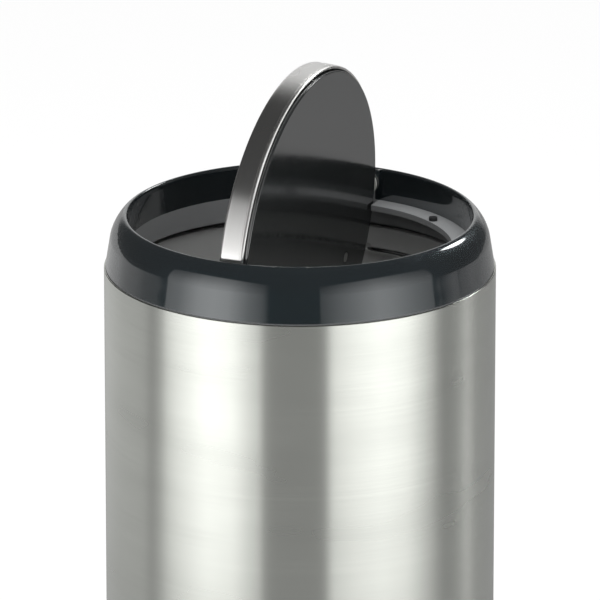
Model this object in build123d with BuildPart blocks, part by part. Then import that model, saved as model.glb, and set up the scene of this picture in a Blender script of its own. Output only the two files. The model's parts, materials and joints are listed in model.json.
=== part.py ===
"""Push-top countertop bin: steel body, plastic collar, and a rocking half-steel lid.

Millimetres, +Z up.  The origin is on the bin's axis, on the surface it stands on.
The lid's hinge axis runs along X.  The steel half of the lid is on the -Y side when
the bin is shut; the model stands with the lid tipped fully open.
"""
import os
from math import asin, cos, degrees, radians, sin, sqrt

from build123d import *

os.makedirs("parts", exist_ok=True)

# ---------------------------------------------------------------- driving sizes
body_radius = 84.0          # outside of the steel shell
total_height = 250.0        # standing surface to the top of the collar's lip
open_angle = 85.9           # the lid's swing from shut to fully open, degrees

# shell and base
shell_wall = 0.6
shell_edge_round = 0.45     # outside of the shell's top edge
foot_radius = 3.6
foot_thickness = 2.0
foot_proud = 0.8            # how far the feet stand below the base ring
foot_count = 4
foot_inset = 8.0            # foot centres, in from the base ring's edge
ring_lip = 1.4              # how far the base ring stands out past the shell
ring_height = 8.2
ring_floor = 2.6
ring_upstand = 2.2          # wall that stands up inside the shell
ring_ledge = 15.0           # how far the ring's floor reaches in from the upstand
ring_fit = 0.2              # clearance each side of the shell in the ring's groove
ring_edge_round = 0.5
pan_wall = 0.6
pan_rim = 4.0
pan_step = 1.5              # raised middle that stiffens the pan
pan_step_inset = 22.0       # the step's distance in from the pan's rim
pan_step_slope = 4.0
pan_fit = 0.2
pan_screw_inset = 5.6       # screw centres, in from the pan's rim

# collar and pivot ring
rim_width = 10.1            # shell's outside to the collar's bore
collar_height = 22.7
collar_step = 0.6           # how far the collar's foot stands in from the shell's outside
collar_wall = 2.2
skirt_height = 12.4
skirt_lean = 2.0            # how far the skirt leans in over its height
shoulder_pull = 5.2         # length of the shoulder curve's lower handle
shoulder_run = 1.5          # length of its upper handle
lip_width = 0.9             # crest of the lip to the bore
lip_depth = 2.6             # height of the lip's rounded inner edge
lip_thickness = 3.7         # lip's top down to the hollow's ceiling
ceiling_width = 0.5         # flat part of the hollow's ceiling
skirt_edge_round = 0.3
seam_gap = 0.3              # open line between the shell's edge and the collar
web_thickness = 2.2
plug_depth = 14.0           # how far the pivot ring plugs into the shell
plug_fit = 0.3
ledge_reach = 4.6           # how far the closing ledge reaches under the lid's tray
ledge_thickness = 2.5
stop_gap = 0.3              # clearance left at either end of the lid's swing
pad_thickness = 1.5         # rubber pads on the ledge
pad_radius = 1.8
pad_angles = (-145, -90, -35)
grip_depth = 0.8
grip_height = 3.0
grip_drop = 6.5             # groove's top edge below the seam
grip_fit = 0.1
collar_screw_count = 4
collar_screw_start = 45     # degrees
collar_boss_height = 12.0   # above the seam

# rocking lid
lid_gap = 2.0               # between the lid's edge and the collar's bore
lid_sink = 0.2              # shut lid's top below the lip
lid_skirt = 10.2            # height of the steel cap's side
axis_drop = 6.9             # hinge axis below the lid's top
cap_wall = 0.6
cap_edge_round = 1.4
hem_width = 1.2
hem_height = 1.0
hem_round = 0.7             # bead along the bottom of the cap's side
hem_drop = 0.5              # bead's centre below that side
chord_seam = 0.15           # joint line between the steel and the plastic half
chord_flange = 1.0          # edge turned down along the chord, under the plate
plate_thickness = 2.2
plate_wall = 1.8
plate_edge_round = 0.8
tray_thickness = 1.8
tray_gap = 0.3              # between the cap's hem and the tray's panel
tray_inset = 1.9            # tray's edge in from the lid's edge
tray_rim_wall = 1.8
tray_rim_clearance = 0.3
tray_edge_round = 0.6
rib_thickness = 1.6
rib_spacing = 36.0
rib_count = 3
rib_clearance = 0.3
plate_screw_circle = 48.0
plate_screw_angles = (30, 70, 110, 150)
plate_boss_radius = 3.0

# pivots
pin_radius = 2.0
pin_press = 0.02            # radial gap of a pin in the tray's boss
pin_running = 0.05          # radial gap of a pin in its bush
pin_grip = 13.0             # length of pin held in the tray
pin_relief = 0.2            # round the pin, where it leaves the lid's side
boss_width = 9.0
bush_radius = 3.9
bush_seat = 0.1
bush_flange_radius = 5.0
bush_flange = 0.9
bush_length = 3.2           # behind the flange
bush_setback = 0.5          # flange's back face in from the bore
pin_chamfer = 0.3
pin_end_gap = 0.3           # pin's end inside the bush's end
post_side_gap = 0.1

# screws
screw_radius = 1.2
screw_pilot = 0.05
screw_hole = 0.3
screw_head_radius = 2.3
screw_head_height = 1.6
collar_screw_length = 10.0
plate_screw_length = 6.0
plate_screw_recess = 1.0
pan_screw_length = 2.2

# bucket and bail
bucket_fit = 1.3            # bucket's rim inside the plug
bucket_headroom = 5.0       # bucket's rim below the seam
bucket_wall = 1.6
bucket_floor = 1.8
bucket_taper = 8.5          # radius lost from rim to foot
bucket_rim_width = 2.1
bucket_rim_skirt = 5.0
bucket_rim_wall = 1.2
bucket_foot = 2.0
bucket_foot_width = 2.5
bucket_rim_round = 0.5
bucket_stand_gap = 0.3
bail_drop = 9.0             # bail's pivot below the bucket's rim
bail_wire_radius = 1.25
bail_running = 0.1
bail_inset = 3.5            # wire's centre line in from the bucket's inner wall
bail_bend = 3.0
bail_end_proud = 1.9        # wire's end past the bucket's outer wall
bail_grip_radius = 2.6
bail_grip_fit = 0.05
bail_grip_arc = 44.0        # degrees of the bail that the grip covers

# ------------------------------------------------------------- worked-out places
seam_z = total_height - collar_height
shell_bore = body_radius - shell_wall
bore = body_radius - rim_width
wall_back = bore + collar_wall
lid_radius = bore - lid_gap
axis_z = total_height - lid_sink - axis_drop
lid_top = axis_drop
cap_foot = lid_top - lid_skirt
tray_top = cap_foot - tray_gap
tray_bottom = tray_top - tray_thickness
tray_radius = lid_radius - tray_inset
wall_top = axis_z + tray_bottom - stop_gap - pad_thickness

# The lid's own plane: its origin is the middle of the hinge axis, its X runs along
# the axis, its Y points to the plastic half and its Z out of the lid's top.
swing = radians(open_angle)
lid_plane = Plane(origin=(0, 0, axis_z), x_dir=(1, 0, 0), z_dir=(0, sin(swing), cos(swing)))
lid_up = Axis(lid_plane.origin, lid_plane.z_dir)


def around(radius, angles):
    """Points on a circle at the given angles in degrees."""
    return [(radius * cos(radians(angle)), radius * sin(radians(angle))) for angle in angles]


def write(piece, name):
    """Label a finished piece and write its STEP file."""
    piece.part.label = name
    export_step(piece.part, f"parts/{name}.step")


# ---------------------------------------------------------------- base and shell
ring_bottom = foot_proud
ring_top = ring_bottom + ring_height
groove_floor = ring_bottom + ring_floor
ring_radius = body_radius + ring_lip
upstand_radius = shell_bore - ring_fit
upstand_bore = upstand_radius - ring_upstand
foot_circle = ring_radius - foot_inset

with BuildPart() as base_ring:
    with BuildSketch(Plane.XZ):
        with BuildLine():
            Polyline(
                (upstand_bore - ring_ledge, ring_bottom),
                (ring_radius, ring_bottom),
                (ring_radius, ring_top),
                (body_radius + ring_fit, ring_top),
                (body_radius + ring_fit, groove_floor),
                (upstand_radius, groove_floor),
                (upstand_radius, ring_top),
                (upstand_bore, ring_top),
                (upstand_bore, groove_floor),
                (upstand_bore - ring_ledge, groove_floor),
                close=True,
            )
        make_face()
    revolve(axis=Axis.Z)
    outer_edges = base_ring.edges().filter_by(GeomType.CIRCLE)
    fillet(outer_edges.group_by(lambda edge: edge.radius)[-1], ring_edge_round)
    with BuildSketch(Plane.XY.offset(ring_bottom)):
        with PolarLocations(foot_circle, foot_count):
            Circle(foot_radius)
    extrude(amount=foot_thickness - foot_proud, mode=Mode.SUBTRACT)
    pan_radius = upstand_bore - pan_fit
    pan_screw_circle = pan_radius - pan_screw_inset
    with BuildSketch(Plane.XY.offset(ring_bottom)):
        with PolarLocations(pan_screw_circle, foot_count, start_angle=180 / foot_count):
            Circle(screw_radius + screw_pilot)
    extrude(amount=ring_floor, mode=Mode.SUBTRACT)
write(base_ring, "base_ring")

with BuildPart() as rubber_feet:
    with BuildSketch(Plane.XY):
        with PolarLocations(foot_circle, foot_count):
            Circle(foot_radius)
    extrude(amount=foot_thickness)
write(rubber_feet, "rubber_feet")

with BuildPart() as base_pan:
    step_radius = pan_radius - pan_step_inset
    step_inner = step_radius - pan_step_slope
    with BuildSketch(Plane.XZ):
        with BuildLine():
            Polyline(
                (0, groove_floor + pan_step),
                (step_inner, groove_floor + pan_step),
                (step_radius, groove_floor),
                (pan_radius, groove_floor),
                (pan_radius, groove_floor + pan_rim),
                (pan_radius - pan_wall, groove_floor + pan_rim),
                (pan_radius - pan_wall, groove_floor + pan_wall),
                (step_radius, groove_floor + pan_wall),
                (step_inner, groove_floor + pan_step + pan_wall),
                (0, groove_floor + pan_step + pan_wall),
                close=True,
            )
        make_face()
    revolve(axis=Axis.Z)
    with BuildSketch(Plane.XY.offset(groove_floor)):
        with PolarLocations(pan_screw_circle, foot_count, start_angle=180 / foot_count):
            Circle(screw_radius + screw_hole)
    extrude(amount=pan_wall, mode=Mode.SUBTRACT)
write(base_pan, "base_pan")

with BuildPart() as base_screws:
    pan_top = groove_floor + pan_wall
    with BuildSketch(Plane.XY.offset(pan_top)):
        with PolarLocations(pan_screw_circle, foot_count, start_angle=180 / foot_count):
            Circle(screw_head_radius)
    extrude(amount=screw_head_height)
    with BuildSketch(Plane.XY.offset(pan_top)):
        with PolarLocations(pan_screw_circle, foot_count, start_angle=180 / foot_count):
            Circle(screw_radius)
    extrude(amount=-(pan_wall + pan_screw_length))
write(base_screws, "base_screws")

with BuildPart() as outer_shell:
    with BuildSketch(Plane.XY.offset(groove_floor)):
        Circle(body_radius)
        Circle(shell_bore, mode=Mode.SUBTRACT)
    extrude(amount=seam_z - seam_gap - groove_floor)
    top_edges = outer_shell.edges().group_by(Axis.Z)[-1]
    fillet(top_edges.sort_by(lambda edge: edge.radius)[-1], shell_edge_round)
write(outer_shell, "outer_shell")

# ------------------------------------------------------------------------ collar
skirt_foot_radius = body_radius - collar_step
skirt_top_radius = skirt_foot_radius - skirt_lean
crest = (bore + lip_width, total_height)
lip_corner = (bore, total_height)
lip_middle = (bore, total_height - lip_depth / 2)
lip_inside = (bore, total_height - lip_depth)
hollow_top = total_height - lip_thickness
skirt_length = sqrt(skirt_lean**2 + skirt_height**2)
shoulder_start = (skirt_top_radius, seam_z + skirt_height)
lower_handle = (
    skirt_top_radius - shoulder_pull * skirt_lean / skirt_length,
    seam_z + skirt_height + shoulder_pull * skirt_height / skirt_length,
)
upper_handle = (bore + lip_width + shoulder_run, total_height)
plug_radius = shell_bore - plug_fit
plug_bore = plug_radius - collar_wall
boss_circle = (wall_back + plug_bore) / 2
boss_radius = (plug_bore - wall_back) / 2 - screw_hole
slot_half = bush_radius + bush_seat
bush_back = bore - bush_setback
bush_end = bush_back + bush_length

with BuildPart() as collar:
    with BuildSketch(Plane.XZ):
        with BuildLine():
            Line((skirt_foot_radius, seam_z), shoulder_start)
            Bezier(shoulder_start, lower_handle, upper_handle, crest)
            Bezier(crest, lip_corner, lip_middle, lip_inside)
            Polyline(
                lip_inside,
                (bore, wall_top),
                (wall_back, wall_top),
                (wall_back, hollow_top),
                (wall_back + ceiling_width, hollow_top),
                (skirt_top_radius - collar_wall, seam_z + skirt_height),
                (skirt_foot_radius - collar_wall, seam_z),
                (skirt_foot_radius, seam_z),
            )
        make_face()
    revolve(axis=Axis.Z)
    foot_edge = collar.edges().filter_by(GeomType.CIRCLE).group_by(Axis.Z)[0]
    fillet(foot_edge.sort_by(lambda edge: edge.radius)[-1], skirt_edge_round)
    # four screw bosses inside the hollow
    with BuildSketch(Plane.XY.offset(seam_z)):
        with PolarLocations(boss_circle, collar_screw_count, start_angle=collar_screw_start):
            Circle(boss_radius)
    extrude(amount=collar_boss_height)
    with BuildSketch(Plane.XY.offset(seam_z)):
        with PolarLocations(boss_circle, collar_screw_count, start_angle=collar_screw_start):
            Circle(screw_radius + screw_pilot)
    extrude(amount=collar_screw_length, mode=Mode.SUBTRACT)
    # a slot each side, open below, that drops over the bush
    with BuildSketch(Plane.YZ):
        with Locations((0, axis_z)):
            Circle(slot_half)
        with Locations((0, (seam_z + axis_z) / 2)):
            Rectangle(2 * slot_half, axis_z - seam_z)
    extrude(amount=bush_end + bush_seat, both=True, mode=Mode.SUBTRACT)
write(collar, "collar")

# ------------------------------------------------------------------- pivot ring
ledge_bore = tray_radius - ledge_reach
ledge_front = tray_bottom - stop_gap
post_half = slot_half - post_side_gap

with BuildPart() as pivot_ring:
    with BuildSketch(Plane.XZ):
        with BuildLine():
            Polyline(
                (bore, seam_z - web_thickness),
                (plug_bore, seam_z - web_thickness),
                (plug_bore, seam_z - plug_depth),
                (plug_radius, seam_z - plug_depth),
                (plug_radius, seam_z),
                (wall_back, seam_z),
                (wall_back, wall_top),
                (bore, wall_top),
                close=True,
            )
        make_face()
    revolve(axis=Axis.Z)
    # closing ledge under the steel half; its ends stop the open lid
    with BuildSketch(Plane.XY.offset(wall_top)):
        Circle(wall_back)
        Circle(ledge_bore, mode=Mode.SUBTRACT)
        with Locations((0, ledge_front)):
            Rectangle(2 * wall_back, wall_back, align=(Align.CENTER, Align.MAX), mode=Mode.INTERSECT)
    extrude(amount=-ledge_thickness)
    # posts that hold the bushes up in the collar's slots
    with BuildSketch(Plane.YZ):
        with Locations((0, (wall_top + axis_z) / 2)):
            Rectangle(2 * post_half, axis_z - wall_top)
        with Locations((0, axis_z)):
            Circle(slot_half, mode=Mode.SUBTRACT)
    extrude(amount=wall_back, both=True)
    with BuildSketch(Plane.XY.offset(wall_top)):
        Circle(bore)
    extrude(amount=axis_z - wall_top, mode=Mode.SUBTRACT)
    # groove for the grip ring
    with BuildSketch(Plane.XY.offset(seam_z - grip_drop)):
        Circle(plug_radius + plug_fit)
        Circle(plug_radius - grip_depth, mode=Mode.SUBTRACT)
    extrude(amount=-grip_height, mode=Mode.SUBTRACT)
    with BuildSketch(Plane.XY.offset(seam_z)):
        with PolarLocations(boss_circle, collar_screw_count, start_angle=collar_screw_start):
            Circle(screw_radius + screw_hole)
    extrude(amount=-web_thickness, mode=Mode.SUBTRACT)
write(pivot_ring, "pivot_ring")

with BuildPart() as collar_screws:
    head_z = seam_z - web_thickness
    with BuildSketch(Plane.XY.offset(head_z)):
        with PolarLocations(boss_circle, collar_screw_count, start_angle=collar_screw_start):
            Circle(screw_head_radius)
    extrude(amount=-screw_head_height)
    with BuildSketch(Plane.XY.offset(head_z)):
        with PolarLocations(boss_circle, collar_screw_count, start_angle=collar_screw_start):
            Circle(screw_radius)
    extrude(amount=collar_screw_length)
write(collar_screws, "collar_screws")

with BuildPart() as grip_ring:
    with BuildSketch(Plane.XY.offset(seam_z - grip_drop)):
        Circle(shell_bore - grip_fit)
        Circle(plug_radius - grip_depth, mode=Mode.SUBTRACT)
    extrude(amount=-grip_height)
write(grip_ring, "grip_ring")

with BuildPart() as stop_pads:
    pad_circle = (ledge_bore + tray_radius) / 2
    with BuildSketch(Plane.XY.offset(wall_top)):
        with Locations(*around(pad_circle, pad_angles)):
            Circle(pad_radius)
    extrude(amount=pad_thickness)
write(stop_pads, "stop_pads")

for side, name in ((-1, "pivot_bush_left"), (1, "pivot_bush_right")):
    flange_back = side * bush_back
    with BuildPart() as bush:
        with BuildSketch(Plane.YZ.offset(flange_back)):
            with Locations((0, axis_z)):
                Circle(bush_flange_radius)
        extrude(amount=-side * bush_flange)
        with BuildSketch(Plane.YZ.offset(flange_back)):
            with Locations((0, axis_z)):
                Circle(bush_radius)
        extrude(amount=side * bush_length)
        with BuildSketch(Plane.YZ.offset(flange_back - side * bush_flange)):
            with Locations((0, axis_z)):
                Circle(pin_radius + pin_running)
        extrude(amount=side * (bush_flange + bush_length), mode=Mode.SUBTRACT)
    write(bush, name)

# ------------------------------------------------------------------- rocking lid
pin_end = bush_end - pin_end_gap
tray_rim_radius = lid_radius - max(hem_width, plate_wall) - tray_rim_clearance
pin_start = tray_rim_radius - pin_grip
flange_foot = lid_top - plate_thickness - chord_flange
boss_top = flange_foot - rib_clearance

with BuildPart() as steel_cap:
    with BuildSketch(lid_plane.offset(cap_foot)):
        Circle(lid_radius)
        with Locations((0, -chord_seam / 2)):
            Rectangle(2 * lid_radius, lid_radius, align=(Align.CENTER, Align.MAX), mode=Mode.INTERSECT)
    extrude(amount=lid_skirt)
    top_edges = steel_cap.edges().group_by(lid_up)[-1]
    fillet(top_edges.filter_by(GeomType.CIRCLE), cap_edge_round)
    offset(amount=-cap_wall, openings=steel_cap.faces().sort_by(lid_up)[0])
    # hem rolled in round the bottom of the side
    with BuildSketch(lid_plane.offset(cap_foot)):
        Circle(lid_radius - cap_wall / 2)
        Circle(lid_radius - hem_width, mode=Mode.SUBTRACT)
        with Locations((0, -chord_seam / 2)):
            Rectangle(2 * lid_radius, lid_radius, align=(Align.CENTER, Align.MAX), mode=Mode.INTERSECT)
    extrude(amount=hem_height)
    with BuildSketch(Plane(origin=lid_plane.origin, x_dir=lid_plane.x_dir, z_dir=-lid_plane.y_dir)):
        with Locations((lid_radius - hem_round, cap_foot - hem_drop)):
            Circle(hem_round)
    revolve(axis=lid_up, revolution_arc=-180)
    # below the turned-down edge the chord is open
    with BuildSketch(lid_plane.offset(cap_foot)):
        Rectangle(2 * (lid_radius - hem_width), chord_seam + 2 * cap_wall)
    extrude(amount=flange_foot - cap_foot, mode=Mode.SUBTRACT)
    with BuildSketch(Plane.YZ):
        with Locations((0, axis_z)):
            Circle(pin_radius + pin_relief)
    extrude(amount=lid_radius, both=True, mode=Mode.SUBTRACT)
write(steel_cap, "steel_cap")

with BuildPart() as push_plate:
    with BuildSketch(lid_plane.offset(cap_foot)):
        Circle(lid_radius)
        with Locations((0, chord_seam / 2)):
            Rectangle(2 * lid_radius, lid_radius, align=(Align.CENTER, Align.MIN), mode=Mode.INTERSECT)
    extrude(amount=lid_skirt)
    top_edges = push_plate.edges().group_by(lid_up)[-1]
    fillet(top_edges.filter_by(GeomType.CIRCLE), plate_edge_round)
    with BuildSketch(lid_plane.offset(cap_foot)):
        Circle(lid_radius - plate_wall)
        with Locations((0, chord_seam / 2)):
            Rectangle(2 * lid_radius, lid_radius, align=(Align.CENTER, Align.MIN), mode=Mode.INTERSECT)
    extrude(amount=flange_foot - cap_foot, mode=Mode.SUBTRACT)
    with BuildSketch(lid_plane.offset(flange_foot)):
        Circle(lid_radius - plate_wall)
        with Locations((0, chord_seam / 2 + plate_wall)):
            Rectangle(2 * lid_radius, lid_radius, align=(Align.CENTER, Align.MIN), mode=Mode.INTERSECT)
    extrude(amount=chord_flange, mode=Mode.SUBTRACT)
    # screw bosses that reach down to the tray
    with BuildSketch(lid_plane.offset(tray_top)):
        with Locations(*around(plate_screw_circle, plate_screw_angles)):
            Circle(plate_boss_radius)
    extrude(amount=lid_top - plate_thickness - tray_top)
    with BuildSketch(lid_plane.offset(tray_top)):
        with Locations(*around(plate_screw_circle, plate_screw_angles)):
            Circle(screw_radius + screw_pilot)
    extrude(amount=plate_screw_length, mode=Mode.SUBTRACT)
    with BuildSketch(Plane.YZ):
        with Locations((0, axis_z)):
            Circle(pin_radius + pin_relief)
    extrude(amount=lid_radius, both=True, mode=Mode.SUBTRACT)
write(push_plate, "push_plate")

with BuildPart() as lid_tray:
    with BuildSketch(lid_plane.offset(tray_bottom)):
        Circle(tray_radius)
    extrude(amount=tray_thickness)
    bottom_edge = lid_tray.edges().filter_by(GeomType.CIRCLE).group_by(lid_up)[0]
    fillet(bottom_edge, tray_edge_round)
    # low wall inside the cap and the push plate
    with BuildSketch(lid_plane.offset(tray_top)):
        Circle(tray_rim_radius)
        Circle(tray_rim_radius - tray_rim_wall, mode=Mode.SUBTRACT)
    extrude(amount=boss_top - tray_top)
    # stiffening ribs and a boss for each pin
    with BuildSketch(lid_plane.offset(tray_top)):
        with GridLocations(rib_spacing, 0, rib_count, 1):
            Rectangle(rib_thickness, 2 * tray_rim_radius)
        Rectangle(2 * tray_rim_radius, rib_thickness)
        for side in (-1, 1):
            with Locations((side * (tray_rim_radius - pin_grip / 2), 0)):
                Rectangle(pin_grip, boss_width)
        Circle(tray_rim_radius, mode=Mode.INTERSECT)
    extrude(amount=boss_top - tray_top)
    for side in (-1, 1):
        with BuildSketch(Plane.YZ.offset(side * pin_start)):
            with Locations((0, axis_z)):
                Circle(pin_radius + pin_press)
        extrude(amount=side * pin_grip, mode=Mode.SUBTRACT)
    # screw holes with recesses for the heads
    with BuildSketch(lid_plane.offset(tray_bottom)):
        with Locations(*around(plate_screw_circle, plate_screw_angles)):
            Circle(screw_head_radius + screw_hole)
    extrude(amount=plate_screw_recess, mode=Mode.SUBTRACT)
    with BuildSketch(lid_plane.offset(tray_bottom)):
        with Locations(*around(plate_screw_circle, plate_screw_angles)):
            Circle(screw_radius + screw_hole)
    extrude(amount=tray_thickness, mode=Mode.SUBTRACT)
write(lid_tray, "lid_tray")

with BuildPart() as lid_screws:
    with BuildSketch(lid_plane.offset(tray_bottom + plate_screw_recess)):
        with Locations(*around(plate_screw_circle, plate_screw_angles)):
            Circle(screw_head_radius)
    extrude(amount=-plate_screw_recess)
    with BuildSketch(lid_plane.offset(tray_bottom + plate_screw_recess)):
        with Locations(*around(plate_screw_circle, plate_screw_angles)):
            Circle(screw_radius)
    extrude(amount=plate_screw_length)
write(lid_screws, "lid_screws")

for side, name in ((-1, "pivot_pin_left"), (1, "pivot_pin_right")):
    with BuildPart() as pin:
        with BuildSketch(Plane.YZ.offset(side * pin_start)):
            with Locations((0, axis_z)):
                Circle(pin_radius)
        extrude(amount=side * (pin_end - pin_start))
        chamfer(pin.edges().filter_by(GeomType.CIRCLE), pin_chamfer)
    write(pin, name)

# --------------------------------------------------------------- bucket and bail
bucket_rim_z = seam_z - bucket_headroom
bucket_rim_radius = plug_bore - bucket_fit
bucket_top_radius = bucket_rim_radius - bucket_rim_width
bucket_foot_radius = bucket_top_radius - bucket_taper
bucket_foot_z = groove_floor + pan_wall + bucket_stand_gap
floor_under = bucket_foot_z + bucket_foot
bail_z = bucket_rim_z - bail_drop
side_run = bucket_rim_z - bucket_foot_z
side_slope = bucket_taper / side_run
bail_wall_radius = bucket_top_radius - bail_drop * side_slope
bail_radius = bail_wall_radius - bucket_wall - bail_inset
bail_hole = bail_wire_radius + bail_running
# the bucket's floor has to clear the raised middle of the pan
floor_top = floor_under + bucket_floor
foot_inner = bucket_foot_radius - bucket_foot_width

with BuildPart() as inner_bucket:
    with BuildSketch(Plane.XZ):
        with BuildLine():
            Polyline(
                (0, floor_under),
                (foot_inner, floor_under),
                (foot_inner, bucket_foot_z),
                (bucket_foot_radius, bucket_foot_z),
                (bucket_top_radius, bucket_rim_z - bucket_rim_wall),
                (bucket_rim_radius - bucket_rim_wall, bucket_rim_z - bucket_rim_wall),
                (bucket_rim_radius - bucket_rim_wall, bucket_rim_z - bucket_rim_skirt),
                (bucket_rim_radius, bucket_rim_z - bucket_rim_skirt),
                (bucket_rim_radius, bucket_rim_z),
                (bucket_top_radius - bucket_wall, bucket_rim_z),
                (bucket_foot_radius - bucket_wall, floor_top),
                (0, floor_top),
                close=True,
            )
        make_face()
    revolve(axis=Axis.Z)
    rim_edges = inner_bucket.edges().filter_by(GeomType.CIRCLE).group_by(Axis.Z)[-1]
    fillet(rim_edges, bucket_rim_round)
    with BuildSketch(Plane.YZ):
        with Locations((0, bail_z)):
            Circle(bail_hole)
    extrude(amount=bucket_rim_radius, both=True, mode=Mode.SUBTRACT)
write(inner_bucket, "inner_bucket")

bend_centre = sqrt((bail_radius + bail_bend) ** 2 - bail_bend**2)
bend_turn = degrees(asin(bail_bend / (bail_radius + bail_bend)))
bail_end = bail_wall_radius + bail_end_proud
bail_plane = Plane.XY.offset(bail_z)

with BuildPart() as bucket_bail:
    with BuildLine(bail_plane):
        Line((bail_end, 0), (bend_centre, 0))
        CenterArc((bend_centre, -bail_bend), bail_bend, 90, 90 - bend_turn)
        CenterArc((0, 0), bail_radius, -bend_turn, -(180 - 2 * bend_turn))
        CenterArc((-bend_centre, -bail_bend), bail_bend, bend_turn, 90 - bend_turn)
        Line((-bend_centre, 0), (-bail_end, 0))
    with BuildSketch(Plane(origin=(bail_end, 0, bail_z), z_dir=(-1, 0, 0))):
        Circle(bail_wire_radius)
    sweep()
write(bucket_bail, "bucket_bail")

with BuildPart() as bail_grip:
    grip_start = radians(-90 - bail_grip_arc / 2)
    grip_plane = Plane(
        origin=(0, 0, bail_z),
        x_dir=(cos(grip_start), sin(grip_start), 0),
        z_dir=(sin(grip_start), -cos(grip_start), 0),
    )
    with BuildSketch(grip_plane):
        with Locations((bail_radius, 0)):
            Circle(bail_grip_radius)
            Circle(bail_wire_radius + bail_grip_fit, mode=Mode.SUBTRACT)
    revolve(axis=Axis.Z, revolution_arc=bail_grip_arc)
write(bail_grip, "bail_grip")
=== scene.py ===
"""Looks for the push-top countertop bin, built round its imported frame.

Metres, in the frame's axes: +Z up, the lid's hinge along X, the steel half of the lid
on the -Y side when the bin is shut.  The bin stands with its lid fully open.
"""
import json
import math

import bmesh
import bpy
from mathutils import Matrix, Vector


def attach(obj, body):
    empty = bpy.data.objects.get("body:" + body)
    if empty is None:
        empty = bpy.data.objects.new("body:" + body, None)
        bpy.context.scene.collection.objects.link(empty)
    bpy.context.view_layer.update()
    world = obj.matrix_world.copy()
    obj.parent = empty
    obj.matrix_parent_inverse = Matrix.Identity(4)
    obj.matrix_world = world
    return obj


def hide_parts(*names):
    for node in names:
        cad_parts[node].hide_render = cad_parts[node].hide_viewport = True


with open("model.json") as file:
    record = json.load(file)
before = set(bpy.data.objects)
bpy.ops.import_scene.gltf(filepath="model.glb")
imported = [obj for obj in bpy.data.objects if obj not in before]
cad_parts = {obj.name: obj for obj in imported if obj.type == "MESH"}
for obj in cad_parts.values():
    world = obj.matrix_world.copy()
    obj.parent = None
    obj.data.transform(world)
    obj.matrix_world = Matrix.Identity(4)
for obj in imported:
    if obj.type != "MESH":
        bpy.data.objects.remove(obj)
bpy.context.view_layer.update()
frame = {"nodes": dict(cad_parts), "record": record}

# --------------------------------------------------------------------- lid
# Millimetres.  Heights are above the hinge's axis, square to the lid, and the lid's own
# axis crosses the hinge's.  The chord is the steel half's straight edge, along the hinge.
MM = 0.001
LID_SWING = math.radians(85.9)                   # how far the lid stands open at rest
LID_AXIS_HEIGHT = 242.9                          # the hinge's axis above the worktop
LID_RADIUS = 71.9
LID_TOP = 6.9
LID_COLUMNS = 180                                # of vertices, round the steel half
SHARP_ANGLE = math.radians(35.0)                 # steeper edges are shaded sharp
MERGE_DISTANCE = 1e-7                            # metres
CAP_WALL = 0.6
CAP_ROUND = 1.4                                  # the edge between top and side
CAP_ROUND_STEPS = 12
CAP_SIDE_END = -2.15                             # where the side ends and the bead's piece starts
# The rows of vertices down the side, close together where the pins' notches are.
CAP_SIDE_HEIGHTS = (4.5, 3.6, 3.0, 2.6) + tuple(0.25 * step for step in range(9, -9, -1))
HEM_STEP = -1.6                                  # the rolled hem's upper end, inside the side
HEM_WIDTH = 1.2                                  # wall and hem together
HEM_GROOVE = 0.12                                # depth of the groove over the bead
BEAD_TOP = -2.6                                  # the bead bulges out to the side again here
BEAD_ROUND = (0.9, 1.3)                          # inwards and down
BEAD_OUTER_ARC = (-7.5, -90.0, 11)               # its first and last angle, and its steps
BEAD_INSIDE = 0.5                                # radius of the bead's inner bottom corner
BEAD_INSIDE_ARC = (-105.0, -180.0, 5)
CHORD_SEAM = 0.075                               # half the seam between steel and plastic
CHORD_FLANGE = 1.0                               # how far down the chord's edge is turned
FLANGE_SETBACK = 0.02                            # from the chord's edge to the flange's face
FLANGE_END_GAP = 0.05                            # from the flange's ends to the side's wall
PIN_NOTCH = 2.2                                  # radius of the side's notches for the pins
lid_frame = Matrix((
    (1.0, 0.0, 0.0, 0.0),
    (0.0, math.cos(LID_SWING), math.sin(LID_SWING), 0.0),
    (0.0, -math.sin(LID_SWING), math.cos(LID_SWING), LID_AXIS_HEIGHT * MM),
    (0.0, 0.0, 0.0, 1.0),
))


# ------------------------------------------------------------------ camera
CAMERA_TURN = math.radians(-66.79)               # round the bin's axis from -Y
CAMERA_DISTANCE = 3.360                          # level distance from the bin's axis
CAMERA_HEIGHT = 1.3074
CAMERA_PITCH = math.radians(18.07)
CAMERA_LENS = 494.2                              # millimetres, as the sensor
CAMERA_SENSOR = 36.0
CLIP_FAR = 60.0

UP = Vector((0.0, 0.0, 1.0))
to_camera = Vector((math.sin(CAMERA_TURN), -math.cos(CAMERA_TURN), 0.0))
picture_right = Vector((math.cos(CAMERA_TURN), math.sin(CAMERA_TURN), 0.0))


def make_camera():
    """A long lens that looks down on the bin, with no roll and no shift."""
    data = bpy.data.cameras.new("camera")
    data.lens = CAMERA_LENS
    data.sensor_width = CAMERA_SENSOR
    data.clip_end = CLIP_FAR
    camera = bpy.data.objects.new("camera", data)
    bpy.context.scene.collection.objects.link(camera)
    camera.location = to_camera * CAMERA_DISTANCE + UP * CAMERA_HEIGHT
    forward = -to_camera * math.cos(CAMERA_PITCH) - UP * math.sin(CAMERA_PITCH)
    camera.rotation_mode = "QUATERNION"
    camera.rotation_quaternion = forward.to_track_quat("-Z", "Y")
    bpy.context.scene.camera = camera


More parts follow.
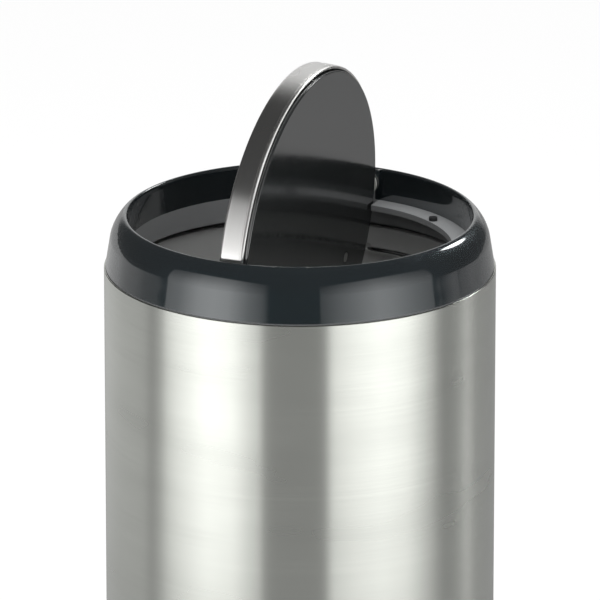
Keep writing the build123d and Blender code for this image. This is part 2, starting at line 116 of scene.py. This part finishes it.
# ------------------------------------------------------------------ studio
# What gloss sees round the bin.  Turns are degrees from the camera's side to the
# picture's right, rises are degrees above level, glows are radiances.
BIN_RADIUS = 0.084
SURROUND_CENTRE = UP * 0.24                      # the collar's level
SURROUND_RADIUS = 2.6
SURROUND_TURNS = [float(turn) for turn in range(-180, 181)]
SURROUND_RISES = (                               # closer together where the panels are
    [float(rise) for rise in range(-5, 41)] + [float(rise) for rise in range(44, 91, 4)] + [90.0]
)
DARK_GLOW = 0.056                                # the unlit studio, overhead and between the panels

# A lamp panel to each side: its glow at some turns, in straight lines between them.
LEFT_PANEL = (
    (-83.0, 0.48), (-74.0, 0.62), (-61.0, 1.22), (-51.0, 1.39), (-42.0, 1.27),
    (-30.0, 0.62), (-21.5, 0.34), (-17.5, 0.06),
)
RIGHT_PANEL = (
    (12.0, 0.24), (20.0, 0.43), (46.0, 1.07), (54.0, 0.98), (70.0, 0.59), (83.5, 0.34),
)
PANEL_TOP = 32.0                                 # rise of a panel's top edge
PANEL_MIDDLE = 45.0                              # the turn, to either side, where it is highest
PANEL_TOP_BEND = 0.006                           # lost with the square of the turn from there
PANEL_TOP_LOSS = 0.62                            # how much dimmer a panel is at its top edge
PANEL_TOP_BLUR = 0.8                             # the edge fades over this rise to either side
BACKDROP_GLOW = 0.64                             # the lit backdrop straight behind the bin
BACKDROP_SIDES = (150.0, 166.0)                  # it fades in between these turns
BACKDROP_TOPS = (34.0, 62.0)                     # and out between these rises
RIM_LAMP = (128.0, 29.5)                         # turn and rise of the lamp that rims the lip
RIM_LAMP_HALVES = (9.0, 4.0)                     # half its length, on a slant, and half its width
RIM_LAMP_BLUR = (0.7, 1.3)                       # it fades between these shares of them
RIM_LAMP_GLOW = 14.0
LID_STRIP_TURNS = range(30, 161, 2)              # the strip that the lid's bead sees
LID_STRIP_RISES = range(14, 51, 3)
LID_STRIP_RADIUS = 0.97 * SURROUND_RADIUS
LID_STRIP_GLOW = 1.3

# The table top, with light and shade painted on it: its glow by turn, the rise of its far edge, and
# how it changes outwards.
TABLE_HEIGHT = 0.0008                            # just over the floor
# Its rows outwards, as shares of the way from the bin to the wall.
TABLE_SHARES = (0.0, 0.02, 0.05, 0.09, 0.14, 0.20, 0.27, 0.5, 0.6, 0.64, 0.68, 0.75, 1.0)
# Painted light where the softboxes would light the table, and the bin's painted shadow, dimmest
# straight behind it.
TABLE_GLOWS = (
    (-180.0, 0.37), (-160.0, 0.62), (-120.0, 0.66), (-105.0, 0.68), (-97.0, 0.42), (-90.0, 0.85),
    (-78.0, 1.55), (-57.0, 2.22), (-40.0, 2.08), (-30.0, 1.47), (-23.5, 1.15), (-21.5, 0.46),
    (-16.0, 0.40), (14.5, 0.39), (19.5, 1.55), (33.0, 1.9), (50.0, 2.1), (66.0, 1.9),
    (84.0, 0.85), (94.0, 0.36), (106.0, 0.38), (116.0, 0.90), (126.0, 0.42), (150.0, 0.36),
    (180.0, 0.37),
)
TABLE_EDGES = (
    (-180.0, 0.5), (-148.0, 0.0), (-130.0, -5.2), (88.0, -5.2), (112.0, -7.5), (180.0, -6.5),
)
TABLE_BASE = 0.36                                # the glow that the bin's painted shadow doesn't dim close to it
TABLE_SHADOW_SHARE = 0.2                           # painted shadow: what is left of the rest beside the bin
TABLE_SHADOW_REACH = 0.70                          # the painted shadow ends here; from here on it is whole
TABLE_FAR = (                                    # beyond the body's own reflections, at the sides
    (-180.0, 0.40), (-137.0, 0.50), (-124.0, 0.36), (-112.0, 0.32), (-104.0, 0.22), (-95.0, 0.20),
    (-86.0, 0.24), (86.0, 0.34), (102.0, 0.34), (108.0, 0.27), (115.0, 0.26), (121.0, 0.31),
    (130.0, 0.27), (150.0, 0.28), (180.0, 0.37),
)
TABLE_FAR_SIDES = (83.0, 87.0)                   # it takes over between these turns
TABLE_FAR_REACH = (0.78, 1.1)                    # and between these distances

# What lights the bin, and what the camera sees behind it.
SOFTBOX_AIM = UP * 0.2
SOFTBOXES = (                                    # turn, rise, distance, width, height, radiance
    ("softbox_left", -55.0, 28.0, 1.7, 2.1, 1.7, 1.25),
    ("softbox_right", 47.0, 28.0, 1.7, 2.1, 1.7, 1.2),
    ("softbox_above", 0.0, 83.0, 1.5, 1.5, 1.5, 3.4),
    ("fill_behind", 180.0, 40.0, 2.4, 2.4, 1.6, 1.0),
)
WORLD_WHITE = (1.0, 1.0, 1.0, 1.0)               # to the camera and in gloss
WORLD_GREY = (0.4, 0.4, 0.4, 1.0)                # as a light
FLOOR_HALF = 14.0
FLOOR_GREY = (0.86, 0.86, 0.86, 1.0)
FLOOR_WHITE_SHARE = 0.80                         # plain white to the camera; the rest has shadow


def studio_way(turn, rise=0.0):
    """Unit vector from the bin, turned from the camera's side to the picture's right."""
    turn, rise = math.radians(turn), math.radians(rise)
    level = to_camera * math.cos(turn) + picture_right * math.sin(turn)
    return level * math.cos(rise) + UP * math.sin(rise)


def ramp(value, start, end):
    """From 0 at the start to 1 at the end, smoothly."""
    share = min(1.0, max(0.0, (value - start) / (end - start)))
    return share * share * (3.0 - 2.0 * share)


def between(points, turn, outside=0.0):
    """The value at one turn of a line through points of (turn, value)."""
    for (start, first), (end, last) in zip(points, points[1:]):
        if start <= turn <= end:
            return first + (last - first) * (turn - start) / (end - start)
    return outside


def table_painted_light(turn, reach):
    """The table top's painted light in one direction, nearer its base glow close to the bin as the
    bin's painted shadow.
    """
    unshaded = TABLE_SHADOW_SHARE + (1.0 - TABLE_SHADOW_SHARE) * ramp(reach, 0.0, TABLE_SHADOW_REACH)
    lit = between(TABLE_GLOWS, turn) - TABLE_BASE
    glow = TABLE_BASE + lit * (unshaded if lit > 0.0 else 1.0)
    side = ramp(abs(turn), *TABLE_FAR_SIDES) * ramp(reach, *TABLE_FAR_REACH)
    return glow + (between(TABLE_FAR, turn) - glow) * side


def surround_glow(turn, rise):
    """The panels, the dark round them, the backdrop and the lamp that rims the collar's lip."""
    top = PANEL_TOP - PANEL_TOP_BEND * (abs(turn) - PANEL_MIDDLE) ** 2
    panel = between(LEFT_PANEL if turn < 0.0 else RIGHT_PANEL, turn, DARK_GLOW)
    dimming = 1.0 - PANEL_TOP_LOSS * max(0.0, rise) / top
    below_edge = 1.0 - ramp(rise, top - PANEL_TOP_BLUR, top + PANEL_TOP_BLUR)
    panel = (panel * dimming - DARK_GLOW) * below_edge
    behind = ramp(abs(turn), *BACKDROP_SIDES) * (1.0 - ramp(rise, *BACKDROP_TOPS))

    aside = (turn - RIM_LAMP[0]) * math.cos(math.radians(rise))
    above = rise - RIM_LAMP[1]
    half_length, half_width = RIM_LAMP_HALVES
    away = math.hypot((above - aside) / half_length, (above + aside) / half_width) / math.sqrt(2.0)
    lamp = RIM_LAMP_GLOW * (1.0 - ramp(away, *RIM_LAMP_BLUR))
    return DARK_GLOW + max(0.0, panel) + BACKDROP_GLOW * behind + lamp


def softbox(name, turn, rise, distance, width, height, radiance):
    """A rectangular lamp that faces the bin's collar and lights it without a reflection."""
    data = bpy.data.lights.new(name, "AREA")
    data.shape = "RECTANGLE"
    data.size, data.size_y = width, height
    data.energy = radiance * math.pi * width * height
    lamp = bpy.data.objects.new(name, data)
    bpy.context.scene.collection.objects.link(lamp)
    lamp.location = SOFTBOX_AIM + studio_way(turn, rise) * distance
    lamp.rotation_mode = "QUATERNION"
    lamp.rotation_quaternion = (lamp.location - SOFTBOX_AIM).to_track_quat("Z", "Y")
    lamp.visible_camera = False
    lamp.visible_glossy = False


def mesh_object(name, points, faces):
    """A new mesh in the scene."""
    mesh = bpy.data.meshes.new(name)
    mesh.from_pydata(points, [], faces)
    mesh.update()
    obj = bpy.data.objects.new(name, mesh)
    bpy.context.scene.collection.objects.link(obj)
    return obj


def emptied(owner):
    """The node tree of a material or world, with all its nodes taken out."""
    owner.use_nodes = True
    owner.node_tree.nodes.clear()
    return owner.node_tree


def glowing(name, clear=False):
    """Emission as strong as the mesh's own glow attribute, clear to what is behind it or not."""
    made = bpy.data.materials.new(name)
    tree = emptied(made)
    out = tree.nodes.new("ShaderNodeOutputMaterial")
    light = tree.nodes.new("ShaderNodeEmission")
    glow = tree.nodes.new("ShaderNodeAttribute")
    glow.attribute_name = "glow"
    tree.links.new(glow.outputs["Fac"], light.inputs["Strength"])
    shown = light.outputs["Emission"]
    if clear:
        both = tree.nodes.new("ShaderNodeAddShader")
        nothing = tree.nodes.new("ShaderNodeBsdfTransparent")
        tree.links.new(shown, both.inputs[0])
        tree.links.new(nothing.outputs["BSDF"], both.inputs[1])
        shown = both.outputs["Shader"]
    tree.links.new(shown, out.inputs["Surface"])
    return made


def gloss_only_sheet(name, rows, material, only=None):
    """A sheet through rows of (point, glow) that only glossy rays see, from some pieces or all."""
    width = len(rows[0])
    points = [point for row in rows for point, glow in row]
    faces = []
    for row in range(len(rows) - 1):
        for column in range(width - 1):
            low, high = row * width + column, (row + 1) * width + column
            faces.append((low, low + 1, high + 1, high))
    sheet = mesh_object(name, points, faces)
    glows = sheet.data.attributes.new("glow", "FLOAT", "POINT")
    glows.data.foreach_set("value", [glow for row in rows for point, glow in row])
    sheet.data.materials.append(material)
    sheet.visible_camera = False
    sheet.visible_diffuse = False
    sheet.visible_transmission = False
    sheet.visible_volume_scatter = False
    sheet.visible_shadow = False
    if only:
        receivers = bpy.data.collections.new(name + "_receivers")
        for piece in only:
            receivers.objects.link(piece)
        sheet.light_linking.receiver_collection = receivers


def make_surround():
    """Walls, dark ceiling and table top as gloss sees them."""
    material = glowing("surround")
    height = SURROUND_CENTRE.z
    lowest = -math.degrees(math.asin(height / SURROUND_RADIUS))
    reach = math.sqrt(SURROUND_RADIUS ** 2 - height ** 2)
    walls = []
    for rise in [lowest] + SURROUND_RISES:
        row = []
        for turn in SURROUND_TURNS:
            table = rise < between(TABLE_EDGES, turn)
            glow = table_painted_light(turn, reach) if table else surround_glow(turn, rise)
            row.append((SURROUND_CENTRE + studio_way(turn, rise) * SURROUND_RADIUS, glow))
        walls.append(row)
    gloss_only_sheet("studio_walls", walls, material)

    # The body's mirror ray leaves it where it faces half the ray's own turn, so the table
    # is laid out along such rays and its bands stay upright in the body.
    table = []
    for share in TABLE_SHARES:
        row = []
        for turn in SURROUND_TURNS:
            edge = between(TABLE_EDGES, turn)
            seen = math.degrees(math.atan2(height, reach * share))
            glow = table_painted_light(turn, reach * share) if seen > -edge else DARK_GLOW
            place = studio_way(turn / 2.0) * BIN_RADIUS + studio_way(turn) * reach * share
            row.append((Vector((place.x, place.y, TABLE_HEIGHT)), glow))
        table.append(row)
    gloss_only_sheet("studio_table", table, material)


def edge_strip(pieces):
    """A bright strip to the right, along the open lid's edge, that only these pieces see."""
    rows = []
    for rise in LID_STRIP_RISES:
        row = []
        for turn in LID_STRIP_TURNS:
            point = SURROUND_CENTRE + studio_way(turn, rise) * LID_STRIP_RADIUS
            row.append((point, LID_STRIP_GLOW))
        rows.append(row)
    gloss_only_sheet("lid_strip", rows, glowing("lid_strip", clear=True), pieces)


def seen_rays(tree):
    """1 for camera, glossy and transmission rays, which show the white backdrop."""
    path = tree.nodes.new("ShaderNodeLightPath")
    total = path.outputs["Is Camera Ray"]
    for name in ("Is Glossy Ray", "Is Transmission Ray"):
        most = tree.nodes.new("ShaderNodeMath")
        most.operation = "MAXIMUM"
        tree.links.new(total, most.inputs[0])
        tree.links.new(path.outputs[name], most.inputs[1])
        total = most.outputs["Value"]
    return total


def mixed(tree, out, share, first, second):
    """Two shaders into an output node, the second by a share between 0 and 1."""
    mix = tree.nodes.new("ShaderNodeMixShader")
    tree.links.new(share, mix.inputs[0])
    tree.links.new(first, mix.inputs[1])
    tree.links.new(second, mix.inputs[2])
    tree.links.new(mix.outputs["Shader"], out.inputs["Surface"])


def make_world():
    """White to the camera and in gloss, otherwise a soft grey light."""
    world = bpy.data.worlds.new("backdrop")
    bpy.context.scene.world = world
    tree = emptied(world)
    out = tree.nodes.new("ShaderNodeOutputWorld")
    seen = tree.nodes.new("ShaderNodeBackground")
    unseen = tree.nodes.new("ShaderNodeBackground")
    seen.inputs["Color"].default_value = WORLD_WHITE
    unseen.inputs["Color"].default_value = WORLD_GREY
    white, grey = seen.outputs["Background"], unseen.outputs["Background"]
    mixed(tree, out, seen_rays(tree), grey, white)


def make_floor():
    """A pale floor, mostly plain white to the camera, that keeps some of the bin's shadow."""
    half = FLOOR_HALF
    corners = [(-half, -half, 0.0), (half, -half, 0.0), (half, half, 0.0), (-half, half, 0.0)]
    floor = mesh_object("floor", corners, [(0, 1, 2, 3)])
    made = bpy.data.materials.new("floor")
    tree = emptied(made)
    out = tree.nodes.new("ShaderNodeOutputMaterial")
    lit = tree.nodes.new("ShaderNodeBsdfDiffuse")
    lit.inputs["Color"].default_value = FLOOR_GREY
    white = tree.nodes.new("ShaderNodeEmission")
    share = tree.nodes.new("ShaderNodeMath")
    share.operation = "MULTIPLY"
    share.inputs[1].default_value = FLOOR_WHITE_SHARE
    tree.links.new(seen_rays(tree), share.inputs[0])
    mixed(tree, out, share.outputs["Value"], lit.outputs["BSDF"], white.outputs["Emission"])
    floor.data.materials.append(made)


def make_studio():
    """White floor and backdrop, the softboxes, and the surround that gloss reflects."""
    bpy.context.scene.view_settings.view_transform = "Standard"
    make_world()
    make_floor()
    for name, *numbers in SOFTBOXES:
        softbox(name, *numbers)
    make_surround()


# --------------------------------------------------------------- materials
# Scales of noise are for X, Y and Z, per metre.  A pair of shares says how far noise takes
# a colour or roughness down and up.  A relief is the bump's strength and depth.
NOISE_RANGE = (0.25, 0.75)                       # noise seldom leaves it
ROUND_BODY = (9.0, 9.0, 5200.0)                  # lines round the bin's axis
ROUND_ROD = (4000.0, 60.0, 60.0)                 # lines round a rod along X
ROUND_LID = (9.0, 5200.0)                        # along the lid's rings and across them
SHEET_SPECKS = (700.0, 700.0, 700.0)
WIRE_SPECKS = (900.0, 900.0, 900.0)
GRAIN_DETAIL = 3.0
GRAIN_TURN = 0.25                                # of a full turn: gloss spreads across the grain
STEEL_CLOUDS = (14.0, 14.0, 60.0)
LID_CLOUDS = (22.0, 22.0, 22.0)
STEEL_CLOUDS_PLACE = (3.1, 1.7, 0.4)
CLOUDS_DETAIL = 2.0
STEEL_TINTS = (0.93, 1.05)
LID_TINTS = (0.94, 1.04)
STEEL_ROUGHS = (0.92, 1.1)
STEEL_RELIEF = (0.12, 0.00002)
GLOSS_FLOW = (30.0, 30.0, 30.0)
GLOSS_HAZE = (420.0, 420.0, 420.0)
GLOSS_HAZE_PLACE = (0.3, 0.9, 0.1)
GLOSS_HAZE_DETAIL = 4.0
GLOSS_TINTS = (0.9, 1.12)
GLOSS_ROUGHS = (0.75, 1.4)
PEARL_ROUGHS = (0.9, 1.1)
GLOSS_RELIEF = (0.05, 0.0001)
SATIN_FLOW = (40.0, 40.0, 40.0)
SATIN_FLOW_PLACE = (0.8, 0.2, 0.5)
SATIN_TINTS = (0.93, 1.07)
SATIN_ROUGHS = (0.88, 1.1)
PITS_DETAIL = 5.0
PITS_STRENGTH = 0.35
PLASTIC_IOR = 1.5


def noise_texture(tree, where, detail):
    """Noise over a vector that has its scale already."""
    made = tree.nodes.new("ShaderNodeTexNoise")
    made.inputs["Scale"].default_value = 1.0
    made.inputs["Detail"].default_value = detail
    tree.links.new(where, made.inputs["Vector"])
    return made.outputs["Fac"]


def noise(tree, scale, detail, place=(0.0, 0.0, 0.0)):
    """Noise in the object's own coordinates, with a scale for each axis."""
    where = tree.nodes.new("ShaderNodeTexCoord")
    mapping = tree.nodes.new("ShaderNodeMapping")
    mapping.inputs["Scale"].default_value = scale
    mapping.inputs["Location"].default_value = place
    tree.links.new(where.outputs["Object"], mapping.inputs["Vector"])
    return noise_texture(tree, mapping.outputs["Vector"], detail)


def tint(tree, shader, value, colour, shares):
    """Let noise take the colour from one share of it to another."""
    made = tree.nodes.new("ShaderNodeMix")
    made.data_type = "RGBA"
    dark, light = (tuple(min(1.0, share * channel) for channel in colour) for share in shares)
    for socket in made.inputs:
        if socket.type == "RGBA":
            socket.default_value = (*(dark if socket.name == "A" else light), 1.0)
    tree.links.new(value, made.inputs["Factor"])
    result = next(socket for socket in made.outputs if socket.type == "RGBA")
    tree.links.new(result, shader.inputs["Base Color"])


def roughen(tree, shader, value, rough, shares):
    """Let noise take the roughness from one share of it to another."""
    made = tree.nodes.new("ShaderNodeMapRange")
    made.inputs["From Min"].default_value, made.inputs["From Max"].default_value = NOISE_RANGE
    made.inputs["To Min"].default_value = rough * shares[0]
    made.inputs["To Max"].default_value = rough * shares[1]
    tree.links.new(value, made.inputs["Value"])
    tree.links.new(made.outputs["Result"], shader.inputs["Roughness"])


def bump(tree, shader, value, relief):
    """Let noise raise and lower the surface in shading."""
    made = tree.nodes.new("ShaderNodeBump")
    made.inputs["Strength"].default_value, made.inputs["Distance"].default_value = relief
    tree.links.new(value, made.inputs["Height"])
    tree.links.new(made.outputs["Normal"], shader.inputs["Normal"])


def principled(name):
    """A new material, its node tree and its shader."""
    made = bpy.data.materials.new(name)
    made.use_nodes = True
    return made, made.node_tree, made.node_tree.nodes["Principled BSDF"]


def steel(tree, shader, tangent, stretch):
    """Bare metal, its gloss stretched across the grain that runs along a tangent."""
    shader.inputs["Metallic"].default_value = 1.0
    shader.inputs["Anisotropic"].default_value = stretch
    shader.inputs["Anisotropic Rotation"].default_value = GRAIN_TURN
    tree.links.new(tangent, shader.inputs["Tangent"])


def brushed(name, colour, rough, grain, stretch=0.0, axis="Z"):
    """Steel with fine grain: noise stretched along the brushing, in tint, gloss and relief."""
    made, tree, shader = principled(name)
    around = tree.nodes.new("ShaderNodeTangent")
    around.direction_type = "RADIAL"
    around.axis = axis
    steel(tree, shader, around.outputs["Tangent"], stretch)
    fine = noise(tree, grain, GRAIN_DETAIL)
    clouds = noise(tree, STEEL_CLOUDS, CLOUDS_DETAIL, STEEL_CLOUDS_PLACE)
    tint(tree, shader, fine, colour, STEEL_TINTS)
    roughen(tree, shader, clouds, rough, STEEL_ROUGHS)
    bump(tree, shader, fine, STEEL_RELIEF)
    return made


def gloss(name, colour, rough, ior, roughs=GLOSS_ROUGHS):
    """Polished moulded plastic: a faint flow in the tint and a trace of haze."""
    made, tree, shader = principled(name)
    shader.inputs["IOR"].default_value = ior
    flow = noise(tree, GLOSS_FLOW, CLOUDS_DETAIL)
    haze = noise(tree, GLOSS_HAZE, GLOSS_HAZE_DETAIL, GLOSS_HAZE_PLACE)
    tint(tree, shader, flow, colour, GLOSS_TINTS)
    roughen(tree, shader, haze, rough, roughs)
    bump(tree, shader, flow, GLOSS_RELIEF)
    return made


def pearl(name, colour, rough, specular, coat_rough, coat_ior):
    """Dark moulding with a clear polished skin over a wide, tinted glow."""
    made = gloss(name, colour, rough, PLASTIC_IOR, PEARL_ROUGHS)
    shader = made.node_tree.nodes["Principled BSDF"]
    shader.inputs["Specular Tint"].default_value = (*specular, 1.0)
    shader.inputs["Coat Weight"].default_value = 1.0
    shader.inputs["Coat Roughness"].default_value = coat_rough
    shader.inputs["Coat IOR"].default_value = coat_ior
    return made


def satin(name, colour, rough, cell, depth):
    """Textured moulded plastic or rubber: fine pits in relief and gloss."""
    made, tree, shader = principled(name)
    shader.inputs["IOR"].default_value = PLASTIC_IOR
    pits = noise(tree, (cell, cell, cell), PITS_DETAIL)
    flow = noise(tree, SATIN_FLOW, CLOUDS_DETAIL, SATIN_FLOW_PLACE)
    tint(tree, shader, flow, colour, SATIN_TINTS)
    roughen(tree, shader, pits, rough, SATIN_ROUGHS)
    bump(tree, shader, pits, (PITS_STRENGTH, depth))
    return made


def vector_node(tree, operation, first, second=None):
    """One vector sum, each side a plain vector or another node's output."""
    made = tree.nodes.new("ShaderNodeVectorMath")
    made.operation = operation
    for socket, value in zip(made.inputs, (first, second)):
        if isinstance(value, tuple):
            socket.default_value = value
        elif value is not None:
            tree.links.new(value, socket)
    return made.outputs["Value" if operation in ("LENGTH", "DOT_PRODUCT") else "Vector"]


def scaled(tree, vector, scale):
    """A vector times a number."""
    made = vector_node(tree, "SCALE", vector)
    made.node.inputs["Scale"].default_value = scale
    return made


def lid_brushed(name, colour, rough, stretch):
    """Steel with its grain in rings round the lid's own axis, on its flats and its sides alike."""
    made, tree, shader = principled(name)
    where = tree.nodes.new("ShaderNodeTexCoord").outputs["Object"]
    lid_up = (0.0, math.sin(LID_SWING), math.cos(LID_SWING))
    place = vector_node(tree, "SUBTRACT", where, (0.0, 0.0, LID_AXIS_HEIGHT * MM))
    ring = vector_node(tree, "CROSS_PRODUCT", lid_up, place)
    world = tree.nodes.new("ShaderNodeVectorTransform")
    world.vector_type = "VECTOR"
    world.convert_from, world.convert_to = "OBJECT", "WORLD"
    tree.links.new(ring, world.inputs["Vector"])
    steel(tree, shader, world.outputs["Vector"], stretch)

    # Radius and height together change across the rings, on the flats and on the sides.
    total = tree.nodes.new("ShaderNodeMath")
    total.operation = "ADD"
    tree.links.new(vector_node(tree, "LENGTH", ring), total.inputs[0])
    tree.links.new(vector_node(tree, "DOT_PRODUCT", place, lid_up), total.inputs[1])
    line = tree.nodes.new("ShaderNodeCombineXYZ")
    tree.links.new(total.outputs["Value"], line.inputs["Z"])
    along, across = ROUND_LID
    lines, rings = scaled(tree, line.outputs["Vector"], across), scaled(tree, ring, along)
    fine = noise_texture(tree, vector_node(tree, "ADD", lines, rings), GRAIN_DETAIL)
    clouds = noise(tree, LID_CLOUDS, CLOUDS_DETAIL, STEEL_CLOUDS_PLACE)
    tint(tree, shader, fine, colour, LID_TINTS)
    roughen(tree, shader, clouds, rough, STEEL_ROUGHS)
    bump(tree, shader, fine, STEEL_RELIEF)
    return made


def make_materials():
    """The finishes, by the record's names for them."""
    made = [
        brushed("body_steel", (0.675, 0.690, 0.645), 0.255, ROUND_BODY, 0.95),
        lid_brushed("lid_steel", (0.84, 0.835, 0.82), 0.27, 0.8),
        brushed("plain_steel", (0.58, 0.58, 0.58), 0.38, SHEET_SPECKS),
        brushed("pin_steel", (0.62, 0.62, 0.62), 0.25, ROUND_ROD, 0.8, axis="X"),
        brushed("screw_steel", (0.66, 0.66, 0.65), 0.22, WIRE_SPECKS),
        brushed("bail_wire", (0.72, 0.72, 0.71), 0.16, WIRE_SPECKS),
        pearl("collar_gloss", (0.0075, 0.0100, 0.0115), 0.36, (0.06, 0.24, 0.30), 0.05, 2.3),
        gloss("lid_gloss", (0.014, 0.0155, 0.0155), 0.13, 2.25),
        satin("black_plastic", (0.016, 0.017, 0.018), 0.42, 2600.0, 0.00003),
        satin("ring_plastic", (0.225, 0.23, 0.234), 0.38, 2400.0, 0.00002),
        satin("bucket_plastic", (0.44, 0.445, 0.44), 0.36, 2200.0, 0.00002),
        satin("bush_plastic", (0.50, 0.50, 0.47), 0.40, 1800.0, 0.00002),
        satin("foot_rubber", (0.021, 0.021, 0.022), 0.62, 1600.0, 0.00004),
    ]
    # Where the frame already has the name, Blender adds a dot and a number to it.
    return {material.name.split(".")[0]: material for material in made}


def dress_nodes(materials):
    """Each CAD node gets the finish that the record gives it."""
    for part in frame["record"]["subparts"]:
        node = frame["nodes"][part["node"]]
        node.data.materials.clear()
        node.data.materials.append(materials[part["material_slot"]])


# ------------------------------------------------------------------ pieces
def arc(centre, radius, start, end, steps):
    """Points of an arc, its angles in degrees from the first axis towards the second."""
    turns = [math.radians(start + (end - start) * step / steps) for step in range(steps + 1)]
    return [(centre[0] + radius * math.cos(t), centre[1] + radius * math.sin(t)) for t in turns]


def turned_half(made, profile):
    """Columns of vertices that carry a profile half round the lid's axis, on the steel's side."""
    columns = []
    for step in range(LID_COLUMNS + 1):
        turn = math.pi * step / LID_COLUMNS
        column = []
        for radius, height in profile:
            notch = math.sqrt(max(0.0, PIN_NOTCH ** 2 - height ** 2))
            back = max(radius * math.sin(turn), CHORD_SEAM, notch)
            side = math.copysign(math.sqrt(radius ** 2 - back ** 2), math.cos(turn))
            column.append(made.verts.new((side * MM, -back * MM, height * MM)))
        columns.append(column)
    for first, second in zip(columns, columns[1:]):
        for one in range(len(profile) - 1):
            made.faces.new((first[one], second[one], second[one + 1], first[one + 1]))
    return columns


def steel_cap(material):
    """Half of a turned lid: flat top, rounded edge and side, with the chord's edge turned down."""
    corner = (LID_RADIUS - CAP_ROUND, LID_TOP - CAP_ROUND)
    outer = arc(corner, CAP_ROUND, 90.0, 0.0, CAP_ROUND_STEPS)
    inner = arc(corner, CAP_ROUND - CAP_WALL, 90.0, 0.0, CAP_ROUND_STEPS)
    for height in (*CAP_SIDE_HEIGHTS, CAP_SIDE_END):
        thickness = CAP_WALL if height > HEM_STEP else HEM_WIDTH
        outer.append((LID_RADIUS, height))
        inner.append((LID_RADIUS - thickness, height))
    made = bmesh.new()
    columns = turned_half(made, outer + inner[::-1])
    made.faces.new([column[0] for column in columns])
    made.faces.new([column[-1] for column in columns])
    for column in (columns[0], columns[-1]):
        for one in range(len(outer) - 1):
            made.faces.new((column[one], column[one + 1], column[-2 - one], column[-1 - one]))
    made.faces.new((columns[0][0], columns[0][-1], columns[-1][-1], columns[-1][0]))

    reach = LID_RADIUS - CAP_WALL - FLANGE_END_GAP
    front, back = -CHORD_SEAM - FLANGE_SETBACK, -CHORD_SEAM - CAP_WALL
    outline = ((-reach, back), (reach, back), (reach, front), (-reach, front))
    corners = [
        made.verts.new((x * MM, y * MM, z * MM))
        for z in (LID_TOP - CHORD_FLANGE, LID_TOP - CAP_WALL / 2.0) for x, y in outline
    ]
    sides = ((0, 3, 2, 1), (4, 5, 6, 7), (0, 1, 5, 4), (1, 2, 6, 5), (2, 3, 7, 6), (3, 0, 4, 7))
    for side in sides:
        made.faces.new([corners[one] for one in side])
    return finish_piece("lid_cap", made, material, "steel_cap", "lid")


def hem_bead(material):
    """The bead rolled in along the bottom of the cap's side, below a thin groove."""
    inwards, down = BEAD_ROUND
    middle, low, inside = LID_RADIUS - inwards, BEAD_TOP - down, LID_RADIUS - HEM_WIDTH
    profile = [(LID_RADIUS - HEM_GROOVE, CAP_SIDE_END), (LID_RADIUS, BEAD_TOP)]
    for x, z in arc((0.0, 0.0), 1.0, *BEAD_OUTER_ARC):
        profile.append((middle + inwards * x, BEAD_TOP + down * z))
    profile += arc((middle, low + BEAD_INSIDE), BEAD_INSIDE, *BEAD_INSIDE_ARC)
    profile += [(inside, BEAD_TOP), (inside, CAP_SIDE_END)]
    made = bmesh.new()
    columns = turned_half(made, profile)
    for first, second in zip(columns, columns[1:]):
        made.faces.new((first[-1], second[-1], second[0], first[0]))
    made.faces.new(columns[0])
    made.faces.new(columns[-1])
    return finish_piece("lid_bead", made, material, "steel_cap", "lid")


def finish_piece(name, made, material, node, body):
    """Turn a bmesh in the lid's frame into an object that rides a body in place of a CAD node."""
    bmesh.ops.remove_doubles(made, verts=made.verts, dist=MERGE_DISTANCE)
    bmesh.ops.dissolve_degenerate(made, edges=made.edges, dist=MERGE_DISTANCE)
    bmesh.ops.recalc_face_normals(made, faces=made.faces)
    made.transform(lid_frame)
    mesh = bpy.data.meshes.new(name)
    made.to_mesh(mesh)
    made.free()
    for face in mesh.polygons:
        face.use_smooth = True
    mesh.set_sharp_from_angle(angle=SHARP_ANGLE)
    obj = bpy.data.objects.new(name, mesh)
    bpy.context.scene.collection.objects.link(obj)
    mesh.materials.append(material)
    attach(obj, body)
    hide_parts(node)
    return obj


make_camera()
make_studio()
finishes = make_materials()
dress_nodes(finishes)
steel_cap(finishes["lid_steel"])
edge_strip([hem_bead(finishes["lid_steel"])])
